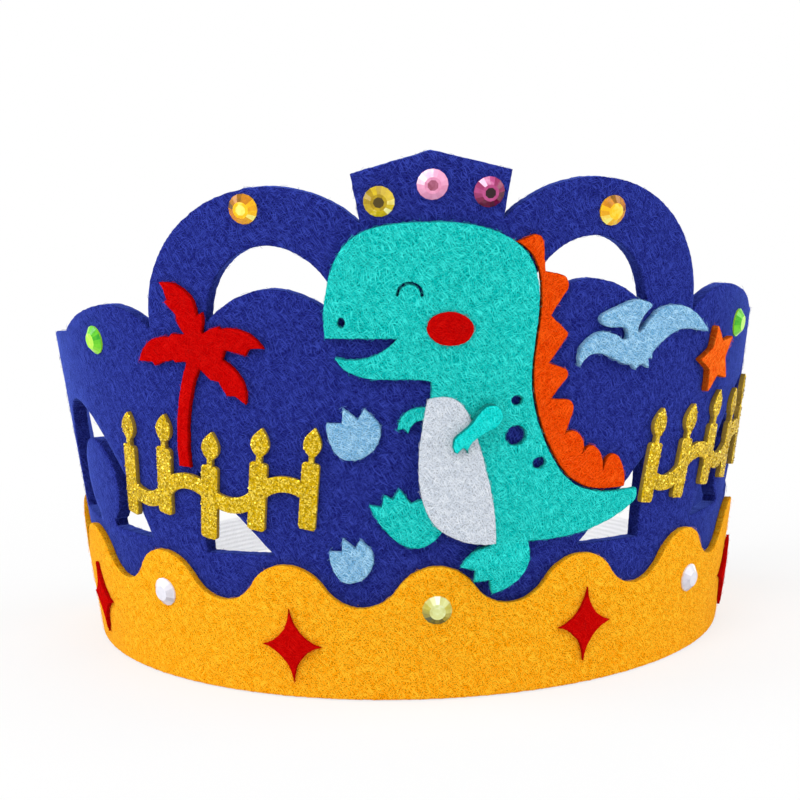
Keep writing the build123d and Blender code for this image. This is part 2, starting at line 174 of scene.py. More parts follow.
class CrownStage(bpy.types.PropertyGroup):
    """Camera and floor."""

    lens: bpy.props.FloatProperty(
        name="Lens", description="Focal length on a 36 mm frame", default=108.1, unit="CAMERA",
    )
    reach: length(701.574, "Camera distance", "Distance from the camera to its target")
    tilt: angle(10.2836, "Camera height", "Angle above the horizon")
    turn: angle(-4.271, "Camera turn", "Angle round the crown")
    roll: angle(-1.3973, "Camera roll", "Angle about the line of sight")
    across: length(-1.25, "Target shift", "How far to the right of the axis the target lies")
    above: length(62.98, "Target height", "Height of the target above the table")
    floor: colour("#EDEDED", "Floor")


def add_node(tree, kind, inputs=None, **settings):
    """Adds a node, sets its properties, and fills or links its inputs by name or place.

    A node given as an input stands for its first output.
    """
    made = tree.nodes.new(kind)
    for key, value in settings.items():
        setattr(made, key, value)
    for key, value in (inputs or {}).items():
        if isinstance(value, bpy.types.Node):
            value = value.outputs[0]
        if isinstance(value, bpy.types.NodeSocket):
            tree.links.new(value, made.inputs[key])
        else:
            made.inputs[key].default_value = value
    return made


def new_material(name):
    """An empty node material and its tree."""
    made = bpy.data.materials.new(name)
    made.use_nodes = True
    made.node_tree.nodes.clear()
    return made, made.node_tree


def end_material(made, tree, inputs):
    """Ends a material with its surface."""
    skin = add_node(tree, "ShaderNodeBsdfPrincipled", inputs)
    add_node(tree, "ShaderNodeOutputMaterial", {"Surface": skin})
    return made


def shade(rgb, by):
    """A colour made lighter (above 1) or darker, with alpha."""
    if by <= 1:
        return (*(c * by for c in rgb), 1)
    return (*(1 - (1 - c) / by for c in rgb), 1)


def felt_material(kind):
    """Needle-punched polyester felt: matt, with pale curly fibres mostly one way, dark pits and painted shade at
    cut edges.

    Real fibres are about 0.03 mm wide, too fine to show, so they are drawn about 0.2 mm wide.
    """
    name = f"{kind}_needle_felt"
    if name in bpy.data.materials:
        return bpy.data.materials[name]
    rgb = getattr(bpy.context.scene.crown_felt, kind)
    pale, pit_shade, cut_edge_painted_shade, sheen, tint, slope = FELT_LOOKS[kind]
    made, tree = new_material(name)
    flat = add_node(tree, "ShaderNodeUVMap", uv_map="flat").outputs["UV"]
    in_mm = add_node(tree, "ShaderNodeMapping", {"Vector": flat, "Scale": (1 / MM, 1 / MM, 1)})
    curl, hollow, cloud = (
        add_node(tree, "ShaderNodeTexNoise", {"Vector": in_mm, "Scale": 1 / size, "Detail": detail},
                 noise_dimensions="2D").outputs
        for size, detail in ((CURL, 0.0), (PIT, 2.0), (CLOUD, 3.0))
    )
    bent = add_node(tree, "ShaderNodeVectorMath", {
        0: curl["Color"], 1: (CURL_SHIFT * MM, CURL_SHIFT * MM, 0), 2: flat,
    }, operation="MULTIPLY_ADD")
    fibres = 0.0
    for turn, long_mm, wide_mm, level in FIBRE_LAYERS:
        turn += slope
        laid = add_node(tree, "ShaderNodeMapping", {
            "Vector": bent, "Location": (turn * MM, level * MM, 0), "Rotation": (0, 0, math.radians(turn)),
            "Scale": (long_mm * MM, wide_mm * MM, 1),
        }, vector_type="TEXTURE")
        grain = add_node(tree, "ShaderNodeTexNoise", {"Vector": laid, "Scale": 1.0, "Detail": 1.0},
                         noise_dimensions="2D").outputs["Fac"]
        line = add_node(tree, "ShaderNodeMapRange", {
            "Value": grain, "From Min": level - 0.06, "From Max": level + 0.12,
        }, interpolation_type="SMOOTHSTEP").outputs["Result"]
        fibres = add_node(tree, "ShaderNodeMath", {0: fibres, 1: line}, operation="MAXIMUM")
    pit = add_node(tree, "ShaderNodeMapRange", {"Value": hollow["Fac"], "From Min": 0.52, "From Max": 0.34},
                   interpolation_type="SMOOTHSTEP").outputs["Result"]
    rim = add_node(tree, "ShaderNodeAttribute", attribute_name="rim_depth").outputs["Fac"]
    # Painted shade on the cut edges, fading out over the front's last 0.2 mm: it stands in for their shadow.
    cut = add_node(tree, "ShaderNodeMapRange", {
        "Value": rim, "From Min": EDGE_SHADE_ENDS, "From Max": EDGE_SHADE_FULL,
    }).outputs["Result"]
    tone = shade(rgb, 0.9)
    for share, over, blend in (
        (cloud["Fac"], shade(rgb, 1.0), "MIX"), (pit, shade(rgb, pit_shade), "MIX"),
        (fibres, (*hex_rgb(pale), 1), "MIX"), (cut, shade((1, 1, 1), cut_edge_painted_shade), "MULTIPLY"),
    ):
        tone = add_node(tree, "ShaderNodeMix", {0: share, 6: tone, 7: over}, data_type="RGBA",
                        blend_type=blend).outputs[2]
    relief = add_node(tree, "ShaderNodeMath", {0: fibres, 1: hollow["Fac"]}, operation="ADD")
    bump = add_node(tree, "ShaderNodeBump", {"Height": relief, "Strength": 0.25, "Distance": 0.2 * MM})
    return end_material(made, tree, {
        "Base Color": tone, "Roughness": 0.96, "Specular IOR Level": 0.0, "Sheen Weight": sheen,
        "Sheen Roughness": 0.3, "Sheen Tint": (*hex_rgb(tint), 1), "Normal": bump,
    })


def fibre_material(kind):
    """Loose polyester fibre: smooth and a little shiny, its tone changing every 3 mm."""
    rgb = getattr(bpy.context.scene.crown_felt, kind)
    made, tree = new_material(f"{kind}_polyester_fibre")
    place = add_node(tree, "ShaderNodeTexCoord").outputs["Object"]
    patch = add_node(tree, "ShaderNodeTexNoise", {"Vector": place, "Scale": 1 / (3.0 * MM), "Detail": 0.0})
    tone = add_node(tree, "ShaderNodeMix", {
        0: patch.outputs["Fac"], 6: (*rgb, 1), 7: (*hex_rgb(FELT_LOOKS[kind][0]), 1),
    }, data_type="RGBA")
    return end_material(made, tree, {
        "Base Color": tone.outputs[2], "Roughness": 0.7, "Specular IOR Level": 0.1,
    })


def glitter_material(name, rgb, painted_glitter_highlight):
    """Glitter film on foam: metallised grains of about 0.4 mm set in clear binder, with painted highlights and
    shade.
    """
    made, tree = new_material(name)
    flat = add_node(tree, "ShaderNodeUVMap", uv_map="flat").outputs["UV"]
    cells = add_node(tree, "ShaderNodeTexVoronoi", {"Vector": flat, "Scale": 1 / (0.42 * MM)},
                     voronoi_dimensions="2D")
    pick = add_node(tree, "ShaderNodeSeparateColor", {"Color": cells.outputs["Color"]})
    ramp = add_node(tree, "ShaderNodeValToRGB", {"Fac": pick})
    stops = ramp.color_ramp.elements
    # Painted highlight and shade: grains of one gold are painted from dark to bright, cell by cell.
    stops[0].position, stops[0].color = 0.0, shade(rgb, 0.4)
    stops[1].position, stops[1].color = 1.0, (*painted_glitter_highlight, 1)
    for level, by in ((0.3, 0.8), (0.75, 1.0)):
        stops.new(level).color = shade(rgb, by)
    bump = add_node(tree, "ShaderNodeBump", {"Height": pick, "Strength": 0.6, "Distance": 0.2 * MM})
    return end_material(made, tree, {
        "Base Color": ramp, "Metallic": 0.4, "Roughness": 0.45, "Specular IOR Level": 0.1,
        "Normal": bump,
    })


def flake_material(name, rgb, painted_glitter_highlight):
    """Metallised polyester flake: a small gold mirror, slightly dulled, with painted highlight and shade changing
    every 0.7 mm.
    """
    made, tree = new_material(name)
    place = add_node(tree, "ShaderNodeTexCoord").outputs["Object"]
    patch = add_node(tree, "ShaderNodeTexNoise", {"Vector": place, "Scale": 1 / (0.7 * MM), "Detail": 0.0})
    spread = add_node(tree, "ShaderNodeMapRange", {
        "Value": patch.outputs["Fac"], "From Min": 0.3, "From Max": 0.75,
    })
    # Painted highlight and shade over the flakes, besides the real glints of their tilt.
    tone = add_node(tree, "ShaderNodeMix", {
        0: spread.outputs["Result"], 6: shade(rgb, 0.6), 7: (*painted_glitter_highlight, 1),
    }, data_type="RGBA")
    return end_material(made, tree, {
        "Base Color": tone.outputs[2], "Metallic": 0.7, "Roughness": 0.3, "Specular IOR Level": 0.1,
    })


def foam_material(name, rgb):
    """Cut edge of closed-cell foam: matt, with open cells of about 0.35 mm."""
    made, tree = new_material(name)
    place = add_node(tree, "ShaderNodeTexCoord").outputs["Object"]
    cells = add_node(tree, "ShaderNodeTexVoronoi", {
        "Vector": place, "Scale": 1 / (0.35 * MM),
    }).outputs["Distance"]
    tone = add_node(tree, "ShaderNodeMix", {0: cells, 6: shade(rgb, 0.6), 7: shade(rgb, 1.05)}, data_type="RGBA")
    bump = add_node(tree, "ShaderNodeBump", {"Height": cells, "Strength": 0.4, "Distance": 0.15 * MM})
    return end_material(made, tree, {
        "Base Color": tone.outputs[2], "Roughness": 0.9, "Specular IOR Level": 0.2, "Normal": bump,
    })


def crystal_material(name, *tones):
    """Foil-backed cut acrylic, clear and glossy: each facet's tone is painted light and shade reflected by the
    foil.

    Within a facet the tone drifts over 1.2 mm.
    """
    made, tree = new_material(name)
    facet = add_node(tree, "ShaderNodeAttribute", attribute_name="facet").outputs["Fac"]
    place = add_node(tree, "ShaderNodeTexCoord").outputs["Object"]
    cloud = add_node(tree, "ShaderNodeTexNoise", {"Vector": place, "Scale": 1 / (1.2 * MM), "Detail": 1.0})
    drift = add_node(tree, "ShaderNodeMath", {0: cloud.outputs["Fac"], 1: 0.3, 2: facet},
                     operation="MULTIPLY_ADD")
    level = add_node(tree, "ShaderNodeMath", {0: drift, 1: 0.15}, operation="SUBTRACT")
    ramp = add_node(tree, "ShaderNodeValToRGB", {"Fac": level})
    stops = ramp.color_ramp.elements
    stops[0].position, stops[1].position = 0.05, 0.95
    stops.new(0.4)
    stops.new(0.75)
    for stop, tone in zip(stops, tones):
        stop.color = (*hex_rgb(tone), 1)
    return end_material(made, tree, {
        "Base Color": ramp, "Roughness": 0.06, "IOR": 1.49, "Specular IOR Level": 0.35,
    })


def elastic_material(name, rgb, pitch, low):
    """Woven elastic: covered rubber cords lie lengthwise, with a weft thread across them every 0.7 mm.

    The cords' pitch and the height of the strap's lower edge are in mm.
    """
    made, tree = new_material(name)
    flat = add_node(tree, "ShaderNodeUVMap", uv_map="flat").outputs["UV"]
    weft = add_node(tree, "ShaderNodeTexWave", {
        "Vector": flat, "Scale": WAVE_TURN / (0.7 * MM), "Distortion": 1.5, "Detail": 1.0,
    }, bands_direction="X")
    cords = add_node(tree, "ShaderNodeTexWave", {
        "Vector": flat, "Scale": WAVE_TURN / (pitch * MM), "Phase Offset": -math.tau * low / pitch,
    }, bands_direction="Y")
    both = add_node(tree, "ShaderNodeMath", {0: weft.outputs["Fac"], 1: cords.outputs["Fac"]},
                    operation="MULTIPLY")
    # Painted shade: 6% darker in the gaps between weft threads and between cords.
    tone = add_node(tree, "ShaderNodeMix", {0: both, 6: shade(rgb, 0.94), 7: shade(rgb, 1.0)}, data_type="RGBA")
    bump = add_node(tree, "ShaderNodeBump", {"Height": both, "Strength": 0.3, "Distance": 0.15 * MM})
    return end_material(made, tree, {
        "Base Color": tone.outputs[2], "Roughness": 0.8, "Specular IOR Level": 0.25, "Sheen Weight": 0.15,
        "Normal": bump,
    })


def thread_material(name, rgb):
    """Twisted polyester sewing thread: its plies show as slanted ridges every 0.6 mm, drawn as painted shade
    between them.
    """
    made, tree = new_material(name)
    place = add_node(tree, "ShaderNodeTexCoord").outputs["Object"]
    ply_painted_shade = add_node(tree, "ShaderNodeTexWave", {"Vector": place, "Scale": DIAGONAL_TURN / (0.6 * MM)},
                     bands_direction="DIAGONAL")
    tone = add_node(tree, "ShaderNodeMix", {
        0: ply_painted_shade.outputs["Fac"], 6: shade(rgb, 0.75), 7: shade(rgb, 1.0),
    }, data_type="RGBA")
    return end_material(made, tree, {"Base Color": tone.outputs[2], "Roughness": 0.55})


def front_loops(node):
    """Loops round the front face of a packed sheet, cloth on the left, in mm along the band and mm high."""
    solid = bmesh.new()
    solid.from_mesh(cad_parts[node].data)
    bmesh.ops.remove_doubles(solid, verts=solid.verts, dist=WELD)
    bmesh.ops.dissolve_degenerate(solid, edges=solid.edges, dist=WELD / 20)
    front = set()
    for face in solid.faces:
        middle = face.calc_center_median()
        if face.normal.dot(Vector((middle.x, middle.y, 0)).normalized()) > FACING:
            front.add(face)
    follow = {}
    for edge in solid.edges:
        sides = [loop for loop in edge.link_loops if loop.face in front]
        if len(sides) == 1:
            follow[sides[0].vert.index] = sides[0].link_loop_next.vert.index
    solid.verts.ensure_lookup_table()
    loops = []
    while follow:
        start, point = follow.popitem()
        chain = [start]
        while point != start:
            chain.append(point)
            point = follow.pop(point)
        places = []
        for index in chain:
            x, y, z = solid.verts[index].co
            places.append((math.atan2(x, -y) * SPREAD_R, z / MM))
        loops.append(np.array(places))
    solid.free()
    return loops


def packed_points(node):
    """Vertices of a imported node, in mm."""
    return np.array([v.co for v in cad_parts[node].data.vertices]) / MM


def layer_base(node):
    """Smallest and largest radius of a packed sheet, taken down its flare to the table, in mm."""
    points = packed_points(node)
    base = np.hypot(points[:, 0], points[:, 1]) - FLARE * points[:, 2]
    return base.min(), base.max()


def even_loop(loop):
    """The loop with crowded points left out and long sides divided; its corners stay."""
    before = loop - np.roll(loop, 1, axis=0)
    after = np.roll(loop, -1, axis=0) - loop
    cross = before[:, 0] * after[:, 1] - before[:, 1] * after[:, 0]
    turn = np.abs(np.arctan2(cross, (before * after).sum(1)))
    kept = []
    for point, bend in zip(loop, turn):
        if not kept or bend > CORNER or np.hypot(*(point - kept[-1])) > CROWDED * OUTLINE_STEP:
            kept.append(point)
    even = []
    for start, end in zip(kept, kept[1:] + kept[:1]):
        parts = max(1, math.ceil(np.hypot(*(end - start)) / OUTLINE_STEP))
        even.extend(start + (end - start) * i / parts for i in range(parts))
    return np.array(even)


def left_of(runs):
    """Unit normals to the left of flat runs."""
    runs = runs / np.maximum(np.hypot(runs[:, 0], runs[:, 1]), 1e-9)[:, None]
    return np.stack((-runs[:, 1], runs[:, 0]), axis=1)


def inward(loop):
    """Unit normals of a loop towards the cloth, which lies on its left."""
    return left_of(np.roll(loop, -1, axis=0) - np.roll(loop, 1, axis=0))


def inside(points, loops):
    """Which points lie in the cloth, by counting the sides of the loops to their right."""
    within = np.zeros(len(points), bool)
    x, y = points[:, 0], points[:, 1]
    for loop in loops:
        for (ax, ay), (bx, by) in zip(loop, np.roll(loop, -1, axis=0)):
            if ay != by:
                crossed = (ay > y) != (by > y)
                within ^= crossed & (x < (bx - ax) * (y - ay) / (by - ay) + ax)
    return within


def edge_finder(loops):
    """A function that gives each point's distance from the nearest edge of the cloth."""
    tree = KDTree(sum(len(loop) for loop in loops))
    sides = []
    for loop in loops:
        for before, point, after in zip(np.roll(loop, 1, axis=0), loop, np.roll(loop, -1, axis=0)):
            tree.insert((*point, 0), len(sides))
            sides.append(((before, point), (point, after)))
    tree.balance()

    def distance(points):
        found = np.empty(len(points))
        for i, point in enumerate(points):
            nearest = sides[tree.find((*point, 0))[1]]
            best = math.inf
            for start, end in nearest:
                run = end - start
                share = min(1, max(0, (point - start) @ run / max(run @ run, 1e-12)))
                best = min(best, math.hypot(*(point - start - run * share)))
            found[i] = best
        return found

    return distance


def divide(loops, mesh_step, rows):
    """Triangles over the cloth between its loops: points, triangles and each point's depth in from the edge.

    Besides an even grid, points lie in rows along the edge, at the depths given.
    """
    distance = edge_finder(loops)
    rim = np.concatenate(loops)
    points = [rim]
    for depth in rows:
        for loop in loops:
            row = loop + inward(loop) * depth
            row = row[inside(row, loops)]
            points.append(row[distance(row) > ROW_ROOM * depth])
    low, high = rim.min(0), rim.max(0)
    lines = []
    for i, y in enumerate(np.arange(low[1], high[1], mesh_step * EVEN_RISE)):
        across = np.arange(low[0] + (i % 2) * mesh_step / 2, high[0], mesh_step)
        lines.append(np.stack((across, np.full(len(across), y)), axis=1))
    grid = np.concatenate(lines)
    grid = grid[inside(grid, loops)]
    points.append(grid[distance(grid) > rows[-1] + GRID_ROOM * mesh_step])
    points = np.concatenate(points)
    sides, first = [], 0
    for loop in loops:
        count = len(loop)
        sides.extend((first + i, first + (i + 1) % count) for i in range(count))
        first += count
    placed, _, triangles, source, _, _ = geometry.delaunay_2d_cdt(
        [Vector(p) for p in points], sides, [], 1, 1e-6,
    )
    placed = np.array([tuple(p) for p in placed])
    triangles = np.array([t for t in triangles if len(t) == 3])
    triangles = triangles[inside(placed[triangles].mean(1), loops)]
    on_rim = np.array([any(i < len(rim) for i in ids) for ids in source])
    return placed, triangles, np.where(on_rim, 0.0, distance(placed))


def round_off(depth, radius):
    """How far a softened edge drops below the face, at a distance in from the edge."""
    reach = np.clip(radius - depth, 0, radius)
    return radius - np.sqrt(np.maximum(radius ** 2 - reach ** 2, 0))


def unevenness(points, seed, layers):
    """Smooth noise over flat points, in layers of a size in mm, a share and a shift of the seed."""
    total = np.zeros(len(points))
    for size, share, shift in layers:
        total += share * np.array([noise.noise(Vector((x / size, y / size, seed + shift))) for x, y in points])
    return total


def cloth_mesh(name, loops, faces_at, edge, ragged, inset, lump, mesh_step, seed, wall_rows):
    """A closed sheet with softened, slightly ragged edges, its lengths in mm.

    faces_at gives the back and front radius at a height. Rows of points down the cut edge roughen it.
    """
    cut = []
    for loop in loops:
        loop = even_loop(loop)
        cut.append(loop + inward(loop) * (inset + unevenness(loop, seed, STRAYS) * ragged)[:, None])
    flat, triangles, depth = divide(cut, mesh_step, [share * edge for share in EDGE_ROWS])
    back, front = faces_at(flat[:, 1])
    soft = round_off(depth, edge)
    front = front - soft + unevenness(flat, seed, LUMPS) * lump
    back = back + soft

    count = len(flat)
    used = dict.fromkeys(side for a, b, c in triangles for side in ((a, b), (b, c), (c, a)))
    rim = [(a, b) for a, b in used if (b, a) not in used]
    after = dict(rim)
    before = {b: a for a, b in rim}
    ends = sorted(after)
    outer = -left_of(flat[[after[i] for i in ends]] - flat[[before[i] for i in ends]])
    radius, where, texture = [front, back], [flat, flat], [flat, flat]
    wall = {end: [end] for end in ends}
    for row in range(1, wall_rows + 1):
        deep = front[ends] + (back[ends] - front[ends]) * (row / (wall_rows + 1))
        rough = unevenness(flat[ends] + row * ROW_SHIFT, seed, ROUGHNESS) * ragged
        radius.append(deep)
        where.append(flat[ends] + outer * rough[:, None])
        texture.append(flat[ends] + outer * (front[ends] - deep)[:, None])
        for i, end in enumerate(ends):
            wall[end].append(2 * count + (row - 1) * len(ends) + i)
    for end in ends:
        wall[end].append(end + count)
    faces = [*triangles, *(triangles[:, ::-1] + count)]
    for a, b in rim:
        for k in range(wall_rows + 1):
            faces.append((wall[a][k + 1], wall[b][k + 1], wall[b][k], wall[a][k]))

    radius, where, texture = (np.concatenate(rows) for rows in (radius, where, texture))
    turn = where[:, 0] / SPREAD_R
    verts = np.stack((radius * np.sin(turn), -radius * np.cos(turn), where[:, 1]), axis=1) * MM
    mesh = bpy.data.meshes.new(name)
    mesh.from_pydata(verts.tolist(), [], [tuple(int(i) for i in face) for face in faces])
    mesh.polygons.foreach_set("use_smooth", [True] * len(faces))
    corners = np.empty(len(mesh.loops), int)
    mesh.loops.foreach_get("vertex_index", corners)
    mesh.uv_layers.new(name="flat").data.foreach_set("uv", (texture[corners] * MM).ravel())
    rim_depth = np.concatenate((depth, depth, np.zeros(len(verts) - 2 * count)))
    mesh.attributes.new("rim_depth", "FLOAT", "POINT").data.foreach_set("value", rim_depth)
    # 1 on the front, 0 on the back and 2 on the cut edge.
    sides = [1] * len(triangles) + [0] * len(triangles)
    sides += [2] * (len(faces) - len(sides))
    mesh.attributes.new("face_side", "INT", "FACE").data.foreach_set("value", sides)
    mesh.update()
    return mesh


def add_piece(name, mesh, *finishes):
    """A new object of the crown, with its materials."""
    piece = bpy.data.objects.new(name, mesh)
    for finish in finishes:
        mesh.materials.append(finish)
    bpy.context.scene.collection.objects.link(piece)
    return piece


def settle(piece, slot, *nodes):
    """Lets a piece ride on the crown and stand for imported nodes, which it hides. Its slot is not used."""
    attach(piece, BODY)
    if nodes:
        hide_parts(*nodes)
    return piece


def lay_sheet(name, node, finish, slot, seed, mesh_step=1.0, edge_share=1.0, wall_rows=1,
              step_up=(0.0, 1.0, 0.0), lump=None, ragged=None, edge_finish=None, inset=0.0, thin=0.0):
    """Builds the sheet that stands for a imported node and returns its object.

    step_up gives two heights and how far out the sheet lies below them. inset and thin, in mm, trim it finer.
    """
    felt = bpy.context.scene.crown_felt
    inner, outer = layer_base(node)
    low, high, rise = step_up
    thick = outer - thin - inner - rise

    def faces_at(z):
        base = inner + np.interp(z, (low, high), (rise, 0.0)) + FLARE * z
        return base, base + thick

    mesh = cloth_mesh(
        name, front_loops(node), faces_at, felt.edge / MM * edge_share,
        (felt.ragged if ragged is None else ragged) / MM, inset, (felt.lump if lump is None else lump) / MM,
        mesh_step, seed, wall_rows,
    )
    piece = add_piece(name, mesh, finish)
    if edge_finish is not None:
        mesh.materials.append(edge_finish)
        sides = mesh.attributes["face_side"].data
        mesh.polygons.foreach_set("material_index", [int(side.value != 1) for side in sides])
    return settle(piece, slot, node)


def new_tree(name, *inputs):
    """A geometry tree with a mesh input, the named inputs, a material and one geometry output."""
    tree = bpy.data.node_groups.new(name, "GeometryNodeTree")
    for words, kind in (("Geometry", "NodeSocketGeometry"), *inputs, ("Material", "NodeSocketMaterial")):
        tree.interface.new_socket(name=words, in_out="INPUT", socket_type=kind)
    tree.interface.new_socket(name="Geometry", in_out="OUTPUT", socket_type="NodeSocketGeometry")
    return tree, add_node(tree, "NodeGroupInput").outputs


def end_tree(tree, given, instances):
    """Ends a tree: instances made real, with their material."""
    real = add_node(tree, "GeometryNodeRealizeInstances", {"Geometry": instances})
    dressed = add_node(tree, "GeometryNodeSetMaterial", {"Geometry": real, "Material": given["Material"]})
    add_node(tree, "NodeGroupOutput", {0: dressed})
    return tree


def bent_tube(tree, given, start, middle, end, steps, sides):
    """A closed tube along a bent path. A point's places are shares of the tree's length, or sockets."""
    points = []
    for places in (start, middle, end):
        filled = {}
        for axis, value in places.items():
            if not isinstance(value, bpy.types.NodeSocket):
                value = add_node(tree, "ShaderNodeMath", {0: given["Length"], 1: value},
                                 operation="MULTIPLY")
            filled[axis] = value
        points.append(add_node(tree, "ShaderNodeCombineXYZ", filled))
    path = add_node(tree, "GeometryNodeCurveQuadraticBezier", {
        "Resolution": steps, "Start": points[0], "Middle": points[1], "End": points[2],
    })
    ring = add_node(tree, "GeometryNodeCurvePrimitiveCircle", {
        "Resolution": sides, "Radius": given["Radius"],
    })
    return add_node(tree, "GeometryNodeCurveToMesh", {
        "Curve": path, "Profile Curve": ring, "Fill Caps": True,
    })


def scatter(tree, given, picked, shape, tilts, sizes):
    """Ends a tree with a shape scattered over the faces picked, each tilted, turned and sized by chance."""
    spots = add_node(tree, "GeometryNodeDistributePointsOnFaces", {
        "Mesh": given["Geometry"], "Selection": picked, "Density": given["Density"], "Seed": given["Seed"],
    }).outputs
    least, most = tilts
    around = add_node(tree, "FunctionNodeRandomValue", {
        0: (least, least, 0), 1: (most, most, math.tau), "Seed": given["Seed"],
    }, data_type="FLOAT_VECTOR")
    turned = add_node(tree, "FunctionNodeRotateRotation", {
        "Rotation": spots["Rotation"], "Rotate By": around,
    }, rotation_space="LOCAL")
    size = add_node(tree, "FunctionNodeRandomValue", {2: sizes[0], 3: sizes[1], "Seed": given["Seed"]},
                    data_type="FLOAT")
    laid = add_node(tree, "GeometryNodeInstanceOnPoints", {
        "Points": spots["Points"], "Instance": shape, "Rotation": turned, "Scale": size.outputs[1],
    })
    return end_tree(tree, given, laid)


def fibre_tree():
    """Loose fibres: small bent tubes scattered on the felt above the table, arching a little off it."""
    tree, given = new_tree(
        "loose_fibres", ("Density", "NodeSocketFloat"), ("Length", "NodeSocketFloat"),
        ("Radius", "NodeSocketFloat"), ("Seed", "NodeSocketInt"),
    )
    spot = add_node(tree, "ShaderNodeSeparateXYZ", {0: add_node(tree, "GeometryNodeInputPosition")})
    clear = add_node(tree, "FunctionNodeCompare", {0: spot.outputs["Z"], 1: given["Length"]}, data_type="FLOAT",
                     operation="GREATER_THAN")
    tube = bent_tube(tree, given, {0: -0.5}, {1: 0.1, 2: 0.22}, {0: 0.5, 2: 0.1}, 3, 3)
    return scatter(tree, given, clear, tube, (0, 0.35), (0.5, 1.4))


def flake_tree():
    """Glitter: six-sided flakes scattered on the front of the foam, each tilted its own way."""
    tree, given = new_tree(
        "glitter_flakes", ("Density", "NodeSocketFloat"), ("Radius", "NodeSocketFloat"),
        ("Seed", "NodeSocketInt"),
    )
    side = add_node(tree, "GeometryNodeInputNamedAttribute", {"Name": "face_side"}, data_type="INT")
    front = add_node(tree, "FunctionNodeCompare", {2: side, 3: 1}, data_type="INT", operation="EQUAL")
    flake = add_node(tree, "GeometryNodeMeshCircle", {"Vertices": 6, "Radius": given["Radius"]}, fill_type="NGON")
    lifted = add_node(tree, "GeometryNodeTransform", {
        "Geometry": flake, "Translation": (0, 0, 0.06 * MM),
    })
    return scatter(tree, given, front, lifted, (-0.42, 0.42), (0.45, 1.15))


def stitch_tree():
    """Stitches: a bent thread on each point, turned by the point's own attribute."""
    tree, given = new_tree("strap_stitches", ("Length", "NodeSocketFloat"), ("Radius", "NodeSocketFloat"))
    tube = bent_tube(tree, given, {1: -0.5}, {2: given["Radius"]}, {1: 0.5}, 4, 6)
    turn = add_node(tree, "GeometryNodeInputNamedAttribute", {"Name": "turn"}, data_type="FLOAT_VECTOR")
    facing = add_node(tree, "FunctionNodeEulerToRotation", {0: turn})
    laid = add_node(tree, "GeometryNodeInstanceOnPoints", {
        "Points": given["Geometry"], "Instance": tube, "Rotation": facing,
    })
    return end_tree(tree, given, laid)


def grow(name, base_mesh, tree, finish, **values):
    """Runs a node tree on a mesh and returns the result as a plain object."""
    holder = add_piece(name + "_base", base_mesh)
    modifier = holder.modifiers.new("grow", "NODES")
    modifier.node_group = tree
    names = {item.name: item.identifier for item in tree.interface.items_tree if item.in_out == "INPUT"}
    modifier[names["Material"]] = finish
    for key, value in values.items():
        modifier[names[key]] = value
    seen = holder.evaluated_get(bpy.context.evaluated_depsgraph_get())
    grown = bpy.data.meshes.new_from_object(seen)
    grown.name = name
    bpy.data.objects.remove(holder)
    return add_piece(name, grown)


def joined(name, pieces):
    """One mesh of several pieces' meshes."""
    whole = bmesh.new()
    for piece in pieces:
        whole.from_mesh(piece.data)
    mesh = bpy.data.meshes.new(name)
    whole.to_mesh(mesh)
    whole.free()
    return mesh


class CROWN_OT_band(bpy.types.Operator):
    """Blue felt band with its tab, arches, lobes and cut-outs"""

    bl_idname = "crown.band"
    bl_label = "Crown band"

    def execute(self, context):
        crown["band"] = lay_sheet("crown_band_felt", "crown_band", felt_material("blue"), "blue_felt", 3,
                                  mesh_step=1.9, edge_share=1.5, wall_rows=3)
        return {"FINISHED"}


class CROWN_OT_trim(bpy.types.Operator):
    """Yellow scalloped felt trim"""

    bl_idname = "crown.trim"
    bl_label = "Scalloped trim"

    def execute(self, context):
        crown["trim"] = lay_sheet("scallop_trim_felt", "scallop_band", felt_material("yellow"), "yellow_felt", 7,
                                  mesh_step=1.5)
        return {"FINISHED"}


class CROWN_OT_figures(bpy.types.Operator):
    """Felt figures: the dinosaur in its layers, the shells, the palm, the flyer and the orange star"""

    bl_idname = "crown.figures"
    bl_label = "Felt figures"

    # Each figure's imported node, felt, finish slot and seed, and how its sheet differs from a plain one.
    figures = {
        "dino": ("dino_body", "teal", "teal_felt", 11, {"mesh_step": 1.2, "step_up": (36.9, 41.1, 2.0)}),
        "belly": ("dino_belly", "white", "white_felt", 13, {"edge_share": 0.8}),
        "arm": ("dino_arm", "light_teal", "teal_felt", 17, {"mesh_step": 0.8, "inset": 0.3}),
        "cheek": ("dino_cheek", "red", "red_felt", 19, {"mesh_step": 0.8, "edge_share": 0.7}),
        "spikes": ("dino_spikes", "red_orange", "orange_felt", 23, {}),
        "shell_upper": ("egg_shell_upper", "pale_blue", "pale_blue_felt", 29, {}),
        "shell_lower": ("egg_shell_lower", "pale_blue", "pale_blue_felt", 31, {}),
        "palm": ("palm_tree", "red", "red_felt", 37, {"inset": 0.3, "thin": 0.4}),
        "flyer": ("pterosaur", "pale_blue", "pale_blue_felt", 41, {}),
        "star": ("orange_star", "orange", "orange_felt", 43, {"wall_rows": 2, "inset": 0.35, "thin": 0.9}),
    }
    # Flat size and area of the sheets that lie on the band alone, in metres.
    on_band = {
        "spikes": ((0.0191, 0.0757), 0.000546),
        "shell_upper": ((0.0135, 0.0137), 0.00013),
        "shell_lower": ((0.0113, 0.0121), 0.000095),
        "palm": ((0.0338, 0.0465), 0.000524),
        "flyer": ((0.0474, 0.0186), 0.000408),
    }

    def execute(self, context):
        for key, (node, felt, slot, seed, settings) in self.figures.items():
            crown[key] = lay_sheet(node + "_felt", node, felt_material(felt), slot, seed, **settings)
        return {"FINISHED"}


class CROWN_OT_stars(bpy.types.Operator):
    """Red four-pointed felt stars on the trim"""

    bl_idname = "crown.stars"
    bl_label = "Red stars"

    def execute(self, context):
        for number in range(1, 5):
            node = f"red_star_{number}"
            star = lay_sheet(node + "_felt", node, felt_material("red"), "red_felt", 50 + number, mesh_step=0.8,
                             edge_share=0.7)
            crown[node] = star
        return {"FINISHED"}


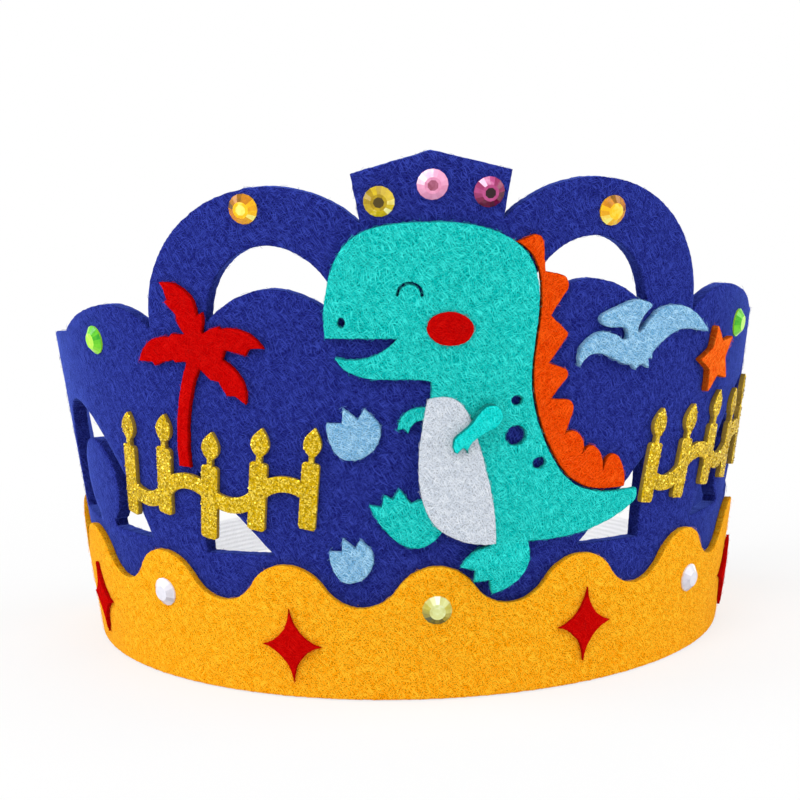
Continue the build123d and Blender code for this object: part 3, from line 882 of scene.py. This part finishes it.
class CROWN_OT_gold(bpy.types.Operator):
    """Gold glitter foam candles with their ribbons"""

    bl_idname = "crown.gold"
    bl_label = "Gold glitter candles"

    def execute(self, context):
        trim = context.scene.crown_trim
        glitter = glitter_material("gold_glitter_film", trim.glitter, trim.painted_glitter_highlight)
        flakes = flake_material("gold_glitter_flakes", trim.glitter, trim.painted_glitter_highlight)
        # The cut edges' colour is the foam's own, darkened with painted shade.
        foam = foam_material("cut_foam_edge", trim.foam)
        tree = flake_tree()
        for side, seed in (("left", 61), ("right", 67)):
            node = f"gold_candles_{side}"
            row = lay_sheet(node + "_foam", node, glitter, "gold_foam", seed, mesh_step=0.9, edge_share=0.5,
                            ragged=0.02 * MM, lump=0.03 * MM, edge_finish=foam, thin=1.0)
            shine = grow(node + "_flakes", row.data.copy(), tree, flakes, Density=trim.flakes_mm2 / MM ** 2,
                         Radius=trim.flake, Seed=seed)
            settle(shine, "gold_foam")
        return {"FINISHED"}


class CROWN_OT_strap(bpy.types.Operator):
    """White ribbed elastic that closes the back, with its stitches"""

    bl_idname = "crown.strap"
    bl_label = "Elastic strap"

    # Cords across the strap, and points across and round it.
    cords, across, rounds = 9, 73, 241
    # In mm: the depth of the grooves, how far the edges thin, and the shift of the back's pattern.
    groove, edge, back_shift = 0.14, 0.25, 40
    # Ruffles: height in mm and turn from one section to the next.
    ruffles = ((0.05, 2.1), (0.04, 0.9))
    # Stitches: their rows in degrees from the strap's end, and their spacing, length and thread radius in mm.
    rows = (1.2, 5.4)
    spacing, stitch, thread_r = 2.1, 1.6, 0.18
    # Their distances from the lower and upper edge, and how far they stand off the inner face, in mm.
    below, above, proud = 1.5, 1.0, 0.05

    def execute(self, context):
        trim = context.scene.crown_trim
        inner, outer = layer_base("elastic_strap")
        low, high = (corner.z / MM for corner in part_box("elastic_strap"))
        points = packed_points("elastic_strap")
        turns = np.degrees(np.arctan2(points[:, 0], -points[:, 1])) % 360
        ends = turns.min(), turns.max()
        finish = elastic_material("white_woven_elastic", trim.elastic, (high - low) / self.cords, low)
        strap = add_piece("elastic_strap_weave", self.weave(ends, low, high, inner, outer), finish)
        settle(strap, "white_elastic", "elastic_strap")
        self.sew(trim, ends, low, high, inner)
        return {"FINISHED"}

    def weave(self, ends, low, high, inner, outer):
        """The strap's closed mesh, ribbed by its cords and a little ruffled."""
        section = []
        for side in (1, -1):
            for k in range(self.across):
                share = k / (self.across - 1) if side > 0 else 1 - k / (self.across - 1)
                rib = 0.5 - 0.5 * math.cos(math.tau * self.cords * share)
                full = min(1, 12 * min(share, 1 - share)) ** 0.5
                off = (outer - inner) / 2 - (self.groove * (1 - rib) + self.edge * (1 - full))
                section.append((low + (high - low) * share, off * side))
        verts, uvs, faces = [], [], []
        middle = (inner + outer) / 2
        for i, turn in enumerate(np.radians(np.linspace(*ends, self.rounds))):
            ruffle = sum(size * math.sin(i * step) for size, step in self.ruffles)
            for z, off in section:
                r = middle + off + ruffle + FLARE * z
                verts.append((r * math.sin(turn) * MM, -r * math.cos(turn) * MM, z * MM))
                uvs.append((turn * SPREAD_R * MM, (z + (0 if off > 0 else self.back_shift)) * MM))
        ring = len(section)
        for i in range(self.rounds - 1):
            for k in range(ring):
                a, b = i * ring + k, i * ring + (k + 1) % ring
                faces.append((a, a + ring, b + ring, b))
        last = (self.rounds - 1) * ring
        for k in range(self.across - 1):
            a, b, c, d = k, k + 1, ring - 2 - k, ring - 1 - k
            faces.append((a, b, c, d))
            faces.append((last + d, last + c, last + b, last + a))
        mesh = bpy.data.meshes.new("elastic_strap_weave")
        mesh.from_pydata(verts, [], faces)
        mesh.polygons.foreach_set("use_smooth", [True] * len(faces))
        layer = mesh.uv_layers.new(name="flat")
        for loop in mesh.loops:
            layer.data[loop.index].uv = uvs[loop.vertex_index]
        whole = bmesh.new()
        whole.from_mesh(mesh)
        bmesh.ops.remove_doubles(whole, verts=whole.verts, dist=1e-7)
        bmesh.ops.recalc_face_normals(whole, faces=whole.faces)
        whole.to_mesh(mesh)
        whole.free()
        return mesh

    def sew(self, trim, ends, low, high, inner):
        """Two upright rows of stitches through each lapped end, seen on the inner face."""
        spots, turns = [], []
        for end, way in zip(ends, (1, -1)):
            for row in self.rows:
                turn = math.radians(end + way * row)
                sin, cos = math.sin(turn), math.cos(turn)
                for z in np.arange(low + self.below, high - self.above, self.spacing):
                    r = inner - self.proud + FLARE * z
                    spots.append((r * sin * MM, -r * cos * MM, z * MM))
                    turns.extend(Matrix(((cos, 0, -sin), (sin, 0, cos), (0, 1, 0))).to_euler())
        mesh = bpy.data.meshes.new("stitch_spots")
        mesh.from_pydata(spots, [], [])
        mesh.attributes.new("turn", "FLOAT_VECTOR", "POINT").data.foreach_set("vector", turns)
        thread = thread_material("twisted_white_thread", trim.thread)
        stitches = grow("strap_stitches", mesh, stitch_tree(), thread, Length=self.stitch * MM,
                        Radius=self.thread_r * MM)
        settle(stitches, "white_elastic")


class CROWN_OT_crystals(bpy.types.Operator):
    """Round cut crystals on the trim, tab, arches and side lobes"""

    bl_idname = "crown.crystals"
    bl_label = "Crystals"

    # Each kind's painted tones, from its darkest facets to its painted glints, standing in for light off the foil.
    kinds = {
        "clear_crystal": ("#8A8C9C", "#CFCFDC", "#E6E6F0", "#FFFFFF"),
        "lemon_crystal": ("#545A38", "#BDB448", "#D8DF98", "#FCFFE6"),
        "gold_crystal": ("#4A3A00", "#A88A00", "#E2C40E", "#FFF6A0"),
        "amber_crystal": ("#6A4A08", "#DE8C00", "#FFC400", "#FFF27A"),
        "pink_crystal": ("#8E4058", "#DC86AC", "#F2AACC", "#FFF0F8"),
        "magenta_crystal": ("#24040F", "#86184C", "#BC4C88", "#F4B4D6"),
        "green_crystal": ("#2FA022", "#72D822", "#B4F034", "#ECFFB4"),
    }
    # Each crystal's kind, painted tones of its core and table, and its crown's mean painted tone, swing and lit
    # side.
    gems = {
        "gem_trim_left": ("clear_crystal", 0.62, 0.6, 0.5, 0.2, 100),
        "gem_trim_middle": ("lemon_crystal", 0.76, 0.72, 0.34, 0.3, 80),
        "gem_trim_right": ("clear_crystal", 0.62, 0.6, 0.5, 0.2, 80),
        "gem_tab_left": ("gold_crystal", 0.02, 0.42, 0.62, 0.15, -45),
        "gem_tab_middle": ("pink_crystal", 0.12, 0.5, 0.66, 0.15, 135),
        "gem_tab_right": ("magenta_crystal", 0.0, 0.66, 0.42, 0.25, 120),
        "gem_arch_left": ("amber_crystal", 0.9, 0.72, 0.42, 0.3, -30),
        "gem_arch_right": ("amber_crystal", 0.8, 0.76, 0.5, 0.3, -120),
        "gem_side_left": ("green_crystal", 0.72, 0.7, 0.5, 0.3, 200),
        "gem_side_right": ("green_crystal", 0.72, 0.7, 0.5, 0.3, -20),
    }
    # Shares: height of the solid's, crown height of the radius, core of the table and base of the rim.
    height, crown_share, core_share, base_share = 0.72, 0.36, 0.66, 0.985
    # Painted tones of girdle, back and glint facet, and how far chance moves those of the table's and crown's
    # facets.
    girdle_tone, back_tone, glint_tone = 0.7, 0.4, 1.0
    table_drift, crown_drift = 0.08, 0.14

    def execute(self, context):
        share = context.scene.crown_trim.table_share
        finishes = {kind: crystal_material(f"cut_{kind}", *tones) for kind, tones in self.kinds.items()}
        for seed, (node, (kind, *look)) in enumerate(self.gems.items()):
            gem = add_piece(node + "_cut", self.cut(node, share, random.Random(seed + 5), *look), finishes[kind])
            settle(gem, kind, node)
        return {"FINISHED"}

    def cut(self, node, share, chance, core_tone, table_tone, mean, swing, painted_light_side):
        """A flat-backed crystal on the node's place: a table round a core, sixteen crown facets and a girdle."""
        points = packed_points(node)
        turn = math.atan2(*(points.mean(0)[:2] * (1, -1)))
        lean = math.atan(FLARE)
        out = Vector((math.sin(turn), -math.cos(turn), 0))
        normal = (out * math.cos(lean) - Vector((0, 0, math.sin(lean)))).normalized()
        right = Vector((math.cos(turn), math.sin(turn), 0))
        up = normal.cross(right)
        centre = Vector(points.mean(0))
        wide, tall = [(points - np.array(centre)) @ np.array(way) for way in (right, up)]
        centre += right * (wide.max() + wide.min()) / 2 + up * (tall.max() + tall.min()) / 2
        radius = (wide.max() - wide.min()) / 2
        high = points @ np.array(normal)
        low = high.min()
        top = low + self.height * (high.max() - low)
        flat = centre - normal * centre.dot(normal)
        start = chance.uniform(0, 0.7)
        verts = []

        def ring(count, r, height):
            first = len(verts)
            for i in range(count):
                a = start + i * math.tau / count
                verts.append((flat + normal * height + (right * math.cos(a) + up * math.sin(a)) * r) * MM)
            return [first + i for i in range(count)]

        core = ring(8, radius * share * self.core_share, top)
        table = ring(16, radius * share, top)
        rim = ring(16, radius, top - self.crown_share * radius)
        base = ring(16, radius * self.base_share, low)
        # Painted light: the core and table carry a painted reflection of the foil.
        faces, tones = [tuple(core)], [core_tone]
        for k in range(8):
            after = (k + 1) % 8
            faces.append((core[k], table[2 * k], table[2 * k + 1], table[(2 * k + 2) % 16], core[after]))
            tones.append(table_tone + chance.uniform(-self.table_drift, self.table_drift))
        # The crown's facets are painted lighter towards this side, and the facet there is a painted glint.
        painted_light_side = math.radians(painted_light_side)
        glint = int(((painted_light_side - start) / math.tau * 16) % 16)
        for k in range(16):
            after = (k + 1) % 16
            faces.append((table[k], rim[k], rim[after], table[after]))
            if k == glint:
                tones.append(self.glint_tone)
            else:
                bright = math.cos(start + (k + 0.5) * math.tau / 16 - painted_light_side)
                tones.append(mean + swing * bright + chance.uniform(-self.crown_drift, self.crown_drift))
            faces.append((rim[k], base[k], base[after], rim[after]))
            tones.append(self.girdle_tone)
        faces.append(tuple(reversed(base)))
        tones.append(self.back_tone)
        mesh = bpy.data.meshes.new(node + "_cut")
        mesh.from_pydata(verts, [], faces)
        mesh.attributes.new("facet", "FLOAT", "FACE").data.foreach_set("value", tones)
        mesh.update()
        return mesh


class CROWN_OT_fibres(bpy.types.Operator):
    """Loose fibres standing off the felt and its cut edges"""

    bl_idname = "crown.fibres"
    bl_label = "Loose fibres"

    # Each felt's loose fibres per mm2, and the pieces that they grow on.
    beds = {
        "blue": (0.1, "band"),
        "yellow": (0.16, "trim"),
        "teal": (0.5, "dino", "arm"),
        "white": (0.4, "belly"),
        "orange": (0.4, "spikes", "star"),
        "red": (0.4, "palm", "cheek", "red_star_1", "red_star_2", "red_star_3", "red_star_4"),
        "pale_blue": (0.45, "flyer", "shell_upper", "shell_lower"),
    }

    def execute(self, context):
        felt = context.scene.crown_felt
        tree = fibre_tree()
        for seed, (kind, (per_mm2, *keys)) in enumerate(self.beds.items()):
            name = f"{kind}_fibres"
            bed = joined(name + "_bed", [crown[key] for key in keys])
            fuzz = grow(name, bed, tree, fibre_material(kind), Density=per_mm2 / MM ** 2, Length=felt.fibre,
                        Radius=felt.fibre_r, Seed=seed + 1)
            settle(fuzz, f"{kind}_felt")
        return {"FINISHED"}


class CROWN_OT_stage(bpy.types.Operator):
    """Pale floor, white surround, soft lamps and the camera"""

    bl_idname = "crown.stage"
    bl_label = "Stage"

    # Each lamp's place, width in metres and power in watts, and the height that all aim at.
    lamps = {
        "key_softbox": ((-0.55, -0.95, 0.9), 0.5, 5.9),
        "fill_softbox": ((0.8, -0.8, 0.5), 0.8, 3.4),
        "top_softbox": ((0.0, -0.45, 1.1), 0.9, 4.6),
        "left_softbox": ((-1.05, -0.05, 0.4), 0.7, 6.0),
        "right_softbox": ((1.05, -0.05, 0.4), 0.7, 4.0),
        "back_softbox": ((0.15, 1.05, 0.7), 0.8, 4.2),
    }
    aim = 0.07
    # The floor's half width and its drop below the crown, in metres.
    half, drop = 4.0, 0.0003
    # The floor shows white beyond the far radius, and this share of white within the near one, for the shadow.
    near, far, near_white = 0.1, 0.24, 0.72
    world_light = 0.3

    def execute(self, context):
        scene = context.scene
        self.floor(scene.crown_stage)
        self.surround(scene)
        for name, (spot, size, power) in self.lamps.items():
            lamp = bpy.data.lights.new(name, "AREA")
            lamp.size = size
            lamp.energy = power
            box = bpy.data.objects.new(name, lamp)
            box.location = spot
            box.rotation_euler = (Vector((0, 0, self.aim)) - Vector(spot)).to_track_quat("-Z", "Y").to_euler()
            scene.collection.objects.link(box)
        self.camera(scene, scene.crown_stage)
        scene.view_settings.view_transform = "Standard"
        return {"FINISHED"}

    def seen_rays(self, tree):
        """1 for rays from the camera, a reflection or a see-through surface."""
        rays = add_node(tree, "ShaderNodeLightPath").outputs
        seen = rays["Is Camera Ray"]
        for kind in ("Is Glossy Ray", "Is Transmission Ray"):
            seen = add_node(tree, "ShaderNodeMath", {0: seen, 1: rays[kind]}, operation="MAXIMUM")
        return seen

    def floor(self, stage):
        """A matt painted board: white to the eye away from the crown, with a soft shadow under it."""
        half, z = self.half, -self.drop
        mesh = bpy.data.meshes.new("floor")
        corners = [(-half, -half, z), (half, -half, z), (half, half, z), (-half, half, z)]
        mesh.from_pydata(corners, [], [(0, 1, 2, 3)])
        finish, tree = new_material("pale_floor")
        matt = add_node(tree, "ShaderNodeBsdfDiffuse", {"Color": (*stage.floor, 1)})
        glow = add_node(tree, "ShaderNodeEmission", {"Color": (1, 1, 1, 1), "Strength": 1.0})
        spot = add_node(tree, "ShaderNodeTexCoord").outputs["Object"]
        away = add_node(tree, "ShaderNodeVectorMath", {0: spot}, operation="LENGTH").outputs["Value"]
        white = add_node(tree, "ShaderNodeMapRange", {
            "Value": away, "From Min": self.near, "From Max": self.far, "To Min": self.near_white, "To Max": 1.0,
        }, interpolation_type="SMOOTHSTEP").outputs["Result"]
        share = add_node(tree, "ShaderNodeMath", {0: self.seen_rays(tree), 1: white}, operation="MULTIPLY")
        both = add_node(tree, "ShaderNodeMixShader", {
            0: share, 1: matt, 2: glow,
        })
        add_node(tree, "ShaderNodeOutputMaterial", {"Surface": both})
        floor = add_piece("floor", mesh, finish)

    def surround(self, scene):
        """A world that is white to the eye and lights the crown softly."""
        world = bpy.data.worlds.new("white_surround")
        world.use_nodes = True
        tree = world.node_tree
        tree.nodes.clear()
        light, seen = [
            add_node(tree, "ShaderNodeBackground", {"Color": (1, 1, 1, 1), "Strength": strength})
            for strength in (self.world_light, 1.0)
        ]
        both = add_node(tree, "ShaderNodeMixShader", {0: self.seen_rays(tree), 1: light, 2: seen})
        add_node(tree, "ShaderNodeOutputWorld", {"Surface": both})
        scene.world = world

    def camera(self, scene, stage):
        """A camera at the photograph's angle."""
        data = bpy.data.cameras.new("photo_camera")
        data.sensor_width = 36.0
        data.lens = stage.lens
        turn, tilt, roll = stage.turn, stage.tilt, stage.roll
        target = Vector((stage.across * math.cos(turn), stage.across * math.sin(turn), stage.above))
        back = Vector((math.sin(turn) * math.cos(tilt), -math.cos(turn) * math.cos(tilt), math.sin(tilt)))
        right = (-back).cross(Vector((0, 0, 1))).normalized()
        up = right.cross(-back)
        level = right * math.cos(roll) + up * math.sin(roll)
        upright = up * math.cos(roll) - right * math.sin(roll)
        view = Matrix((level, upright, back)).transposed().to_4x4()
        view.translation = target + back * stage.reach
        camera = bpy.data.objects.new("photo_camera", data)
        camera.matrix_world = view
        scene.collection.objects.link(camera)
        scene.camera = camera


class CROWN_PT_panel(bpy.types.Panel):
    """Lists the crown's steps and settings"""

    bl_idname = "CROWN_PT_panel"
    bl_label = "Felt party crown"
    bl_space_type = "VIEW_3D"
    bl_region_type = "UI"
    bl_category = "Crown"

    def draw(self, context):
        for step in STEPS:
            self.layout.operator(step.bl_idname)
        for group in (context.scene.crown_felt, context.scene.crown_trim, context.scene.crown_stage):
            box = self.layout.box()
            for key in group.__annotations__:
                box.prop(group, key)


STEPS = (CROWN_OT_band, CROWN_OT_trim, CROWN_OT_figures, CROWN_OT_stars, CROWN_OT_gold, CROWN_OT_strap,
         CROWN_OT_crystals, CROWN_OT_fibres, CROWN_OT_stage)
SETTINGS = (CrownFelt, CrownTrim, CrownStage)


def register():
    for kind in (*SETTINGS, *STEPS, CROWN_PT_panel):
        bpy.utils.register_class(kind)
    bpy.types.Scene.crown_felt = bpy.props.PointerProperty(type=CrownFelt)
    bpy.types.Scene.crown_trim = bpy.props.PointerProperty(type=CrownTrim)
    bpy.types.Scene.crown_stage = bpy.props.PointerProperty(type=CrownStage)


def unregister():
    del bpy.types.Scene.crown_stage
    del bpy.types.Scene.crown_trim
    del bpy.types.Scene.crown_felt
    for kind in reversed((*SETTINGS, *STEPS, CROWN_PT_panel)):
        bpy.utils.unregister_class(kind)


def main():
    register()
    bpy.ops.crown.band()
    bpy.ops.crown.trim()
    bpy.ops.crown.figures()
    bpy.ops.crown.stars()
    bpy.ops.crown.gold()
    bpy.ops.crown.strap()
    bpy.ops.crown.crystals()
    bpy.ops.crown.fibres()
    bpy.ops.crown.stage()


if __name__ == "__main__":
    main()
